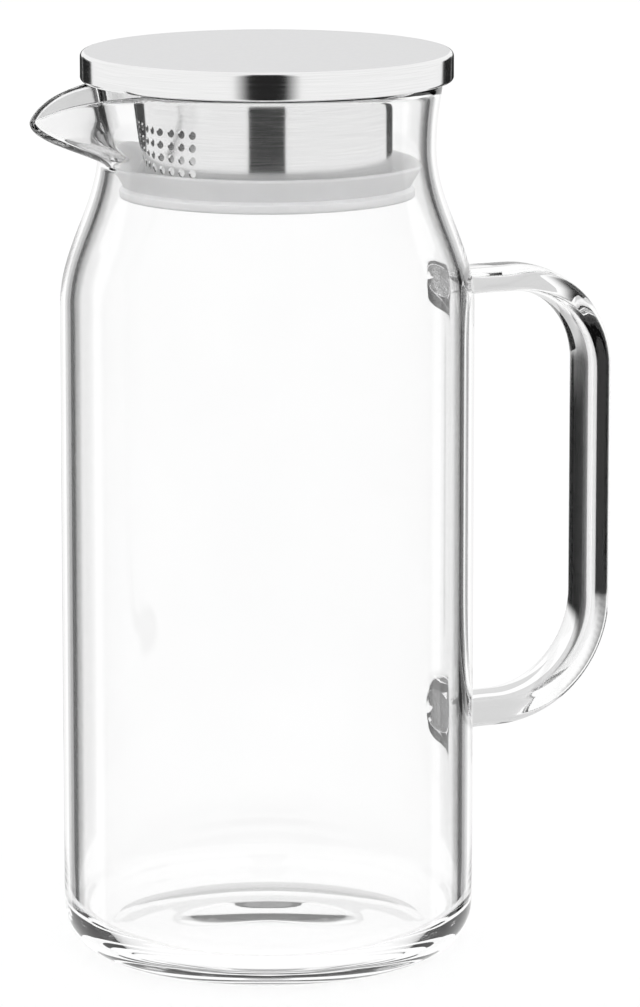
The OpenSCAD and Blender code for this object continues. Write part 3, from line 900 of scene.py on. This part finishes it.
class PITCHER_OT_stage(bpy.types.Operator):
    """Set the pale floor, the white surround with its dark cards, and the camera"""

    bl_idname = "pitcher.stage"
    bl_label = "Stage"

    def execute(self, context):
        scene, stage = context.scene, context.scene.pitcher_stage
        self.floor(stage)
        self.plinth(stage)
        grip_x, fade = scene.pitcher_glass.body_r + scene.pitcher_handle.reach, stage.flag_fade
        circle, level = (grip_x, stage.flag_r), (stage.flag_low, stage.flag_high)
        self.flag("back_flag", circle, (stage.back_start, stage.back_end), level, fade)
        self.flag("side_flag", circle, (stage.side_start, stage.side_end), level, fade)
        self.flag("front_flag", circle, (stage.front_start, stage.front_end), level, fade)
        circle, level = (grip_x, stage.behind_r), [height - stage.behind_drop for height in level]
        self.flag("behind_flag", circle, (stage.back_end, stage.behind_end), level, fade)
        facing = stage.azimuth - math.pi / 2
        span = (facing - stage.card_half, facing + stage.card_half)
        self.flag("sleeve_flag", (0, stage.card_r), span, (stage.card_low, stage.card_high), fade)
        self.surround(scene, stage)
        self.camera(scene, stage)
        scene.view_settings.view_transform = "Standard"
        scene.cycles.max_bounces = 2 * GLASS_BOUNCES
        scene.cycles.glossy_bounces = GLASS_BOUNCES
        return {"FINISHED"}

    def disc(self, name, radius, z):
        """A level disc round the axis."""
        clear_selection()
        bpy.ops.mesh.primitive_circle_add(vertices=DISC_SIDES, radius=radius, fill_type="NGON",
                                          location=(0, 0, z))
        disc = bpy.context.object
        disc.name = name
        return disc

    def bare_material(self, piece, name):
        """Put an empty material on a piece, and return its tree."""
        material = bpy.data.materials.new(name)
        material.use_nodes = True
        material.node_tree.nodes.clear()
        piece.data.materials.append(material)
        return material.node_tree

    def glow(self, tree, strength):
        """A shader that glows evenly."""
        return add_node(tree, "Emission", {"Strength": strength})["Emission"]

    def floor(self, stage):
        """A pale floor that the camera sees as white, darker where the pitcher shades it."""
        floor = self.disc("floor", stage.floor_r, 0)
        tree = self.bare_material(floor, "pale_floor")
        matt = add_node(tree, "BsdfDiffuse", {"Color": (FLOOR_GREY, FLOOR_GREY, FLOOR_GREY, 1)})["BSDF"]
        both = add_node(tree, "AddShader", {0: matt, 1: self.glow(tree, FLOOR_GLOW)})["Shader"]
        add_node(tree, "OutputMaterial", {"Surface": both})
        floor.visible_glossy = floor.visible_transmission = False

    def plinth(self, stage):
        """The white ground close to the jug, as glass and steel show it."""
        plinth = self.disc("plinth", stage.plinth_r, GROUND_Z)
        tree = self.bare_material(plinth, "white_ground")
        add_node(tree, "OutputMaterial", {"Surface": self.glow(tree, GROUND_GLOW)})
        plinth.visible_camera = plinth.visible_diffuse = plinth.visible_shadow = False

    def flag(self, name, circle, span, heights, fade):
        """A dark card on part of a circle, shown only to the light that is listed for it."""
        clear_selection()
        (centre_x, radius), (low, high) = circle, heights
        bpy.ops.mesh.primitive_cylinder_add(vertices=FLAG_SIDES, radius=radius, depth=high - low,
                                            end_fill_type="NOTHING",
                                            location=(centre_x, 0, (low + high) / 2))
        flag = bpy.context.object
        flag.name = name
        bpy.ops.object.transform_apply(location=True, rotation=False, scale=False)
        to_mode("EDIT")
        for a in (span[0], span[1] - math.pi):
            bpy.ops.mesh.select_all(action="SELECT")
            bpy.ops.mesh.bisect(plane_co=(centre_x, 0, 0), plane_no=(-math.sin(a), math.cos(a), 0),
                                clear_inner=True)
        to_mode("OBJECT")
        tree = self.bare_material(flag, name)
        path = add_node(tree, "LightPath")
        z = add_node(tree, "SeparateXYZ", {"Vector": add_node(tree, "TexCoord")["Object"]})["Z"]
        skins, mirrors = FLAG_LIGHT[name]
        seen = product(tree, inside(tree, path["Transmission Depth"], *skins),
                       inside(tree, path["Glossy Depth"], *mirrors),
                       self.faded(tree, z, high, high - fade), self.faded(tree, z, low, low + fade / 2))
        clear, dark = add_node(tree, "BsdfTransparent")["BSDF"], self.glow(tree, CARD_GLOW)
        either = add_node(tree, "MixShader", {"Fac": seen, 1: clear, 2: dark})["Shader"]
        add_node(tree, "OutputMaterial", {"Surface": either})
        flag.visible_camera = flag.visible_diffuse = flag.visible_shadow = False

    def faded(self, tree, value, none, full):
        """A soft step from 0 at one value to 1 at another."""
        inputs = {"Value": value, "From Min": none, "From Max": full}
        return add_node(tree, "MapRange", inputs, interpolation_type="SMOOTHSTEP")["Result"]

    def surround(self, scene, stage):
        """A white surround with dark cards that draw the edges of glass and steel."""
        world = bpy.data.worlds.new("white_surround")
        scene.world = world
        world.use_nodes = True
        tree = world.node_tree
        share, rise = self.directions(tree, stage.azimuth)
        path = add_node(tree, "LightPath")
        through = path["Is Transmission Ray"]
        undiffused = calculate(tree, "LESS_THAN", path["Diffuse Depth"], 0.5)
        dark = product(tree, self.darkness(tree, share, rise, path), undiffused, FULL_CARD)
        above = product(tree, calculate(tree, "GREATER_THAN", rise, 0.0), GAIN_ABOVE)
        on_matt = product(tree, through, opposite(tree, undiffused),
                          calculate(tree, "ADD", GAIN_BELOW, above))
        lift = chain(tree, "ADD", on_matt, product(tree, through, GAIN_CLEAR), 1.0)
        feed(tree, tree.nodes["Background"], {"Color": product(tree, opposite(tree, dark), lift)})

    def directions(self, tree, azimuth):
        """The angle from straight behind, as a share of half a turn, and how steeply light rises."""
        inputs = {"Vector": add_node(tree, "TexCoord")["Generated"], "Angle": -azimuth}
        rotated = add_node(tree, "VectorRotate", inputs, rotation_type="Z_AXIS")["Vector"]
        split = add_node(tree, "SeparateXYZ", {"Vector": rotated})
        angle = calculate(tree, "ARCTAN2", split["X"], split["Y"])
        return calculate(tree, "DIVIDE", calculate(tree, "ABSOLUTE", angle), math.pi), split["Z"]

    def darkness(self, tree, share, rise, path):
        """How dark the cards are to light that came along a path, from 0 to 1."""
        card = {name: self.card(tree, share, *place) for name, place in CARDS.items()}
        card["edges"] = calculate(tree, "MAXIMUM", product(tree, card["grey"], GREY_SHARE), card["edge"])
        in_glass = calculate(tree, "MAXIMUM", product(tree, card["behind"], BEHIND_SHARE), card["mirror"])
        on_side, on_back, on_front = [product(tree, card[name], inside(tree, rise, *limits))
                                      for name, limits in STEEL_RISE.items()]
        card["steel"] = calculate(tree, "MAXIMUM", on_side, on_back)
        in_steel = calculate(tree, "MAXIMUM", card["steel"], on_front)
        through, polished = path["Is Transmission Ray"], path["Is Singular Ray"]
        reflected = product(tree, path["Is Glossy Ray"], opposite(tree, through))
        rules = [product(tree, reflected, opposite(tree, polished), in_steel),
                 product(tree, reflected, polished, in_glass)]
        for skins, mirrors, name, rises, weight in GLASS_RULES.values():
            factors = [through, inside(tree, path["Transmission Depth"], *skins),
                       inside(tree, path["Glossy Depth"], *mirrors), weight]
            if name:
                factors.append(card[name])
            if rises:
                factors.append(chain(tree, "ADD", *[inside(tree, rise, *limits) for limits in rises]))
            rules.append(product(tree, *factors))
        return calculate(tree, "MINIMUM", chain(tree, "ADD", *rules), 1.0)

    def card(self, tree, share, spans, soft):
        """The darkness of a card over the angle from straight behind."""
        ramp = tree.nodes.new("ShaderNodeValToRGB")
        elements = ramp.color_ramp.elements
        for start, end in spans:
            for degrees, grey in ((start - soft, 0), (start + soft, 1), (end - soft, 1), (end + soft, 0)):
                if 0 < degrees < 180:
                    elements.new(degrees / 180).color = (grey, grey, grey, 1)
        for index, grey in ((0, spans[0][0] < 0), (len(elements) - 1, spans[-1][1] > 180)):
            elements[index].color = (grey, grey, grey, 1)
        tree.links.new(share, ramp.inputs["Fac"])
        return ramp.outputs["Color"]

    def camera(self, scene, stage):
        """A long lens at the photograph's angle."""
        clear_selection()
        place = (stage.distance * math.sin(stage.azimuth), -stage.distance * math.cos(stage.azimuth),
                 stage.height)
        aim = (math.pi / 2 - stage.pitch, 0, stage.azimuth - stage.yaw)
        bpy.ops.object.camera_add(location=place, rotation=aim)
        camera = bpy.context.object
        camera.name = "photo_camera"
        camera.data.lens = stage.lens
        camera.data.sensor_width = SENSOR_MM
        camera.data.clip_end = CLIP_END
        scene.camera = camera


class PITCHER_PT_panel(bpy.types.Panel):
    """Lists the pitcher's pieces and its stage"""

    bl_idname = "PITCHER_PT_panel"
    bl_label = "Pitcher"
    bl_space_type = "VIEW_3D"
    bl_region_type = "UI"
    bl_category = "Pitcher"

    def draw(self, context):
        for operator in OPERATORS:
            self.layout.operator(operator.bl_idname)


GROUPS = {
    "pitcher_glass": PitcherGlass,
    "pitcher_handle": PitcherHandle,
    "pitcher_lid": PitcherLid,
    "pitcher_finish": PitcherFinish,
    "pitcher_stage": PitcherStage,
}
OPERATORS = (
    PITCHER_OT_glass_vessel,
    PITCHER_OT_lid_cap,
    PITCHER_OT_lid_plate,
    PITCHER_OT_strainer_sleeve,
    PITCHER_OT_seal_ring,
    PITCHER_OT_stage,
)


def register():
    """Register the groups of settings, the operators and the panel."""
    for name, group in GROUPS.items():
        bpy.utils.register_class(group)
        setattr(bpy.types.Scene, name, PointerProperty(type=group))
    for operator in OPERATORS:
        bpy.utils.register_class(operator)
    bpy.utils.register_class(PITCHER_PT_panel)


def unregister():
    """Take back what register made."""
    bpy.utils.unregister_class(PITCHER_PT_panel)
    for operator in reversed(OPERATORS):
        bpy.utils.unregister_class(operator)
    for name, group in GROUPS.items():
        delattr(bpy.types.Scene, name)
        bpy.utils.unregister_class(group)


def main():
    """Build the pieces and the stage."""
    register()
    bpy.ops.pitcher.glass_vessel()
    bpy.ops.pitcher.lid_cap()
    bpy.ops.pitcher.lid_plate()
    bpy.ops.pitcher.strainer_sleeve()
    bpy.ops.pitcher.seal_ring()
    bpy.ops.pitcher.stage()


if __name__ == "__main__":
    main()
